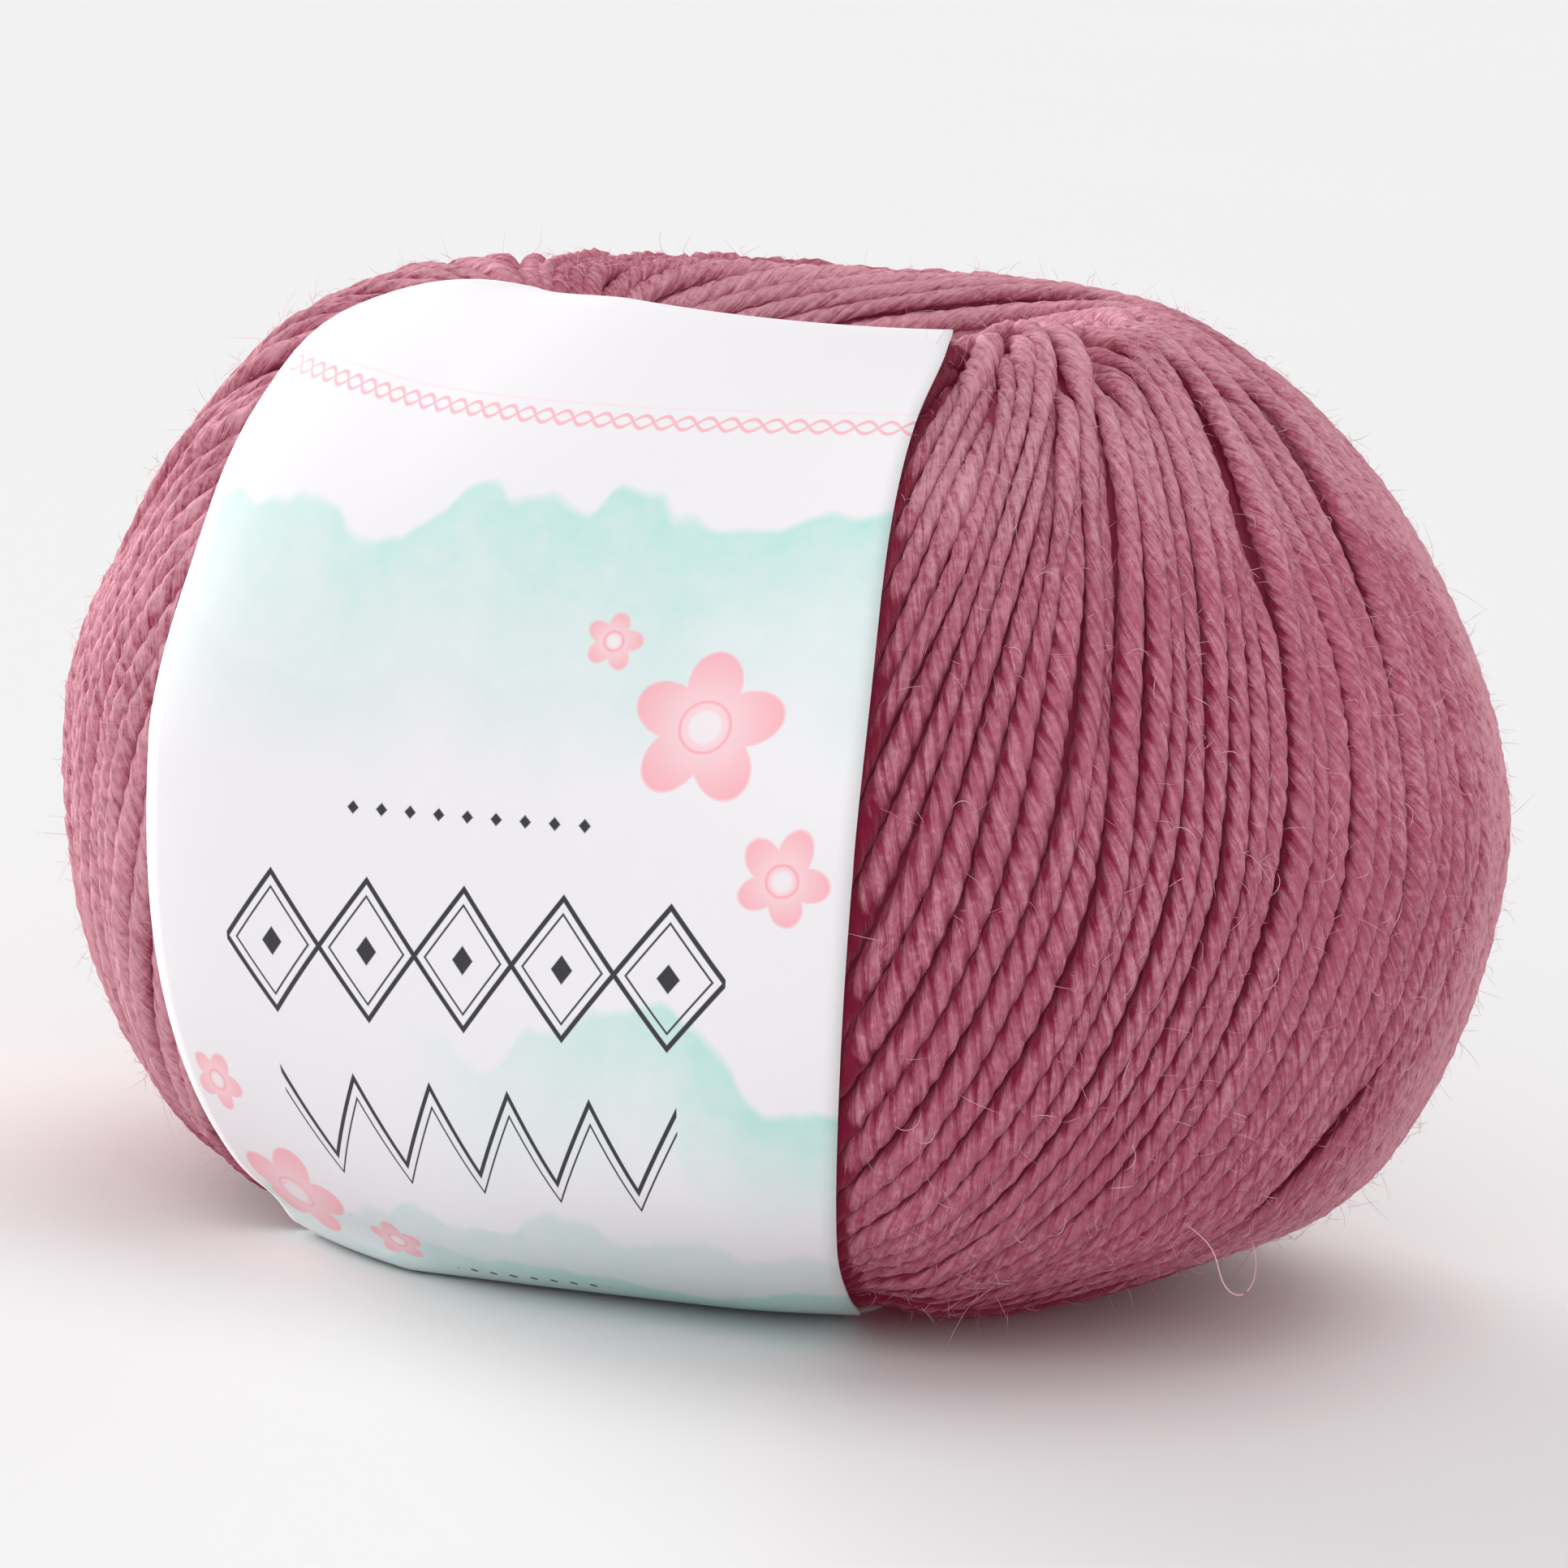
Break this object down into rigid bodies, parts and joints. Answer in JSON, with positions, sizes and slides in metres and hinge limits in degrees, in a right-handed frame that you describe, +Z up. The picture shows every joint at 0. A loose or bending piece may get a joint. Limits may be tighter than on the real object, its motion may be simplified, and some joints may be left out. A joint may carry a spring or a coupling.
{
  "type": "ball of yarn with paper band",
  "caption": "Squat machine-wound ball of wool yarn with an open centre hole and a paper band that runs round its front and through the hole.",
  "frame": {"origin": "middle of the bounding box's bottom, on the surface that the ball rests on", "axes": "+Z up along the ball's centre hole, the middle of the band's front faces -Y, +X to the right of someone who faces the band"},
  "size_m": [0.096, 0.0916, 0.065],
  "materials": {
    "yarn": "matte",
    "band": "satin"
  },
  "bodies": {
    "root": {"yarn_ball": "yarn", "paper_band": "band"}
  },
  "joints": []
}
